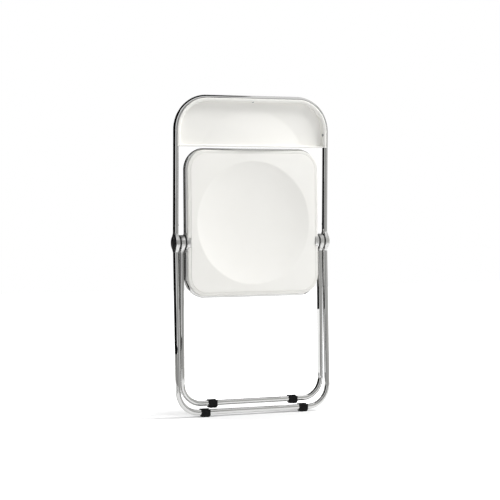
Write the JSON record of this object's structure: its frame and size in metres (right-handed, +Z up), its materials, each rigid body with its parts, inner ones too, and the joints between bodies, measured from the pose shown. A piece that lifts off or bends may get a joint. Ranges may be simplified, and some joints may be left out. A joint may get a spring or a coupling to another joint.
{
  "type": "folding chair",
  "caption": "Folding chair stood folded: chromed bent-tube hoops turn on layered side hubs and carry dished white plastic seat and back panels on black clip-on feet.",
  "frame": {"origin": "the floor under the middle of the folded chair", "axes": "+Z up, +Y the way the sitter faces, +X to the sitter's right"},
  "size_m": [0.47, 0.0488, 0.8801],
  "materials": {
    "chromed_tube": "polished",
    "polished_hub": "polished",
    "white_plastic": "satin",
    "foot_plastic": "matte",
    "black_nylon": "satin",
    "bush_plastic": "satin",
    "steel_fastener": "satin"
  },
  "bodies": {
    "main_frame": {"backrest_hoop": "chromed_tube", "front_leg_hoop": "chromed_tube", "back_panel": "white_plastic", "back_panel_screws": "steel_fastener", "frame_rivets": "steel_fastener", "outer_hub_left": "polished_hub", "outer_hub_right": "polished_hub", "pivot_pin_left": "steel_fastener", "pivot_pin_right": "steel_fastener", "pivot_washer_left": "steel_fastener", "pivot_washer_right": "steel_fastener", "pivot_screw_left": "steel_fastener", "pivot_screw_right": "steel_fastener", "stop_pin_left": "steel_fastener", "stop_pin_right": "steel_fastener", "outer_friction_washer_left": "black_nylon", "outer_friction_washer_right": "black_nylon", "inner_friction_washer_left": "black_nylon", "inner_friction_washer_right": "black_nylon", "front_foot_left": "foot_plastic", "front_foot_right": "foot_plastic"},
    "rear_leg": {"rear_leg_hoop": "chromed_tube", "rear_leg_rivets": "steel_fastener", "middle_hub_left": "polished_hub", "middle_hub_right": "polished_hub", "middle_bush_left": "bush_plastic", "middle_bush_right": "bush_plastic", "rear_foot_left": "foot_plastic", "rear_foot_right": "foot_plastic"},
    "seat": {"seat_front_hoop": "chromed_tube", "seat_rear_hoop": "chromed_tube", "seat_panel": "white_plastic", "seat_panel_screws": "steel_fastener", "seat_rivets": "steel_fastener", "inner_hub_left": "polished_hub", "inner_hub_right": "polished_hub", "inner_bush_left": "bush_plastic", "inner_bush_right": "bush_plastic"}
  },
  "joints": [
    {"name": "rear_leg_fold", "type": "hinge", "parent": "main_frame", "child": "rear_leg", "pos_m": [0, 0.00344, 0.47697], "axis": [-1, 0, 0], "range_deg": [0, 50]},
    {"name": "seat_fold", "type": "hinge", "parent": "main_frame", "child": "seat", "pos_m": [0, 0.00344, 0.47697], "axis": [-1, 0, 0], "range_deg": [0, 115]}
  ]
}
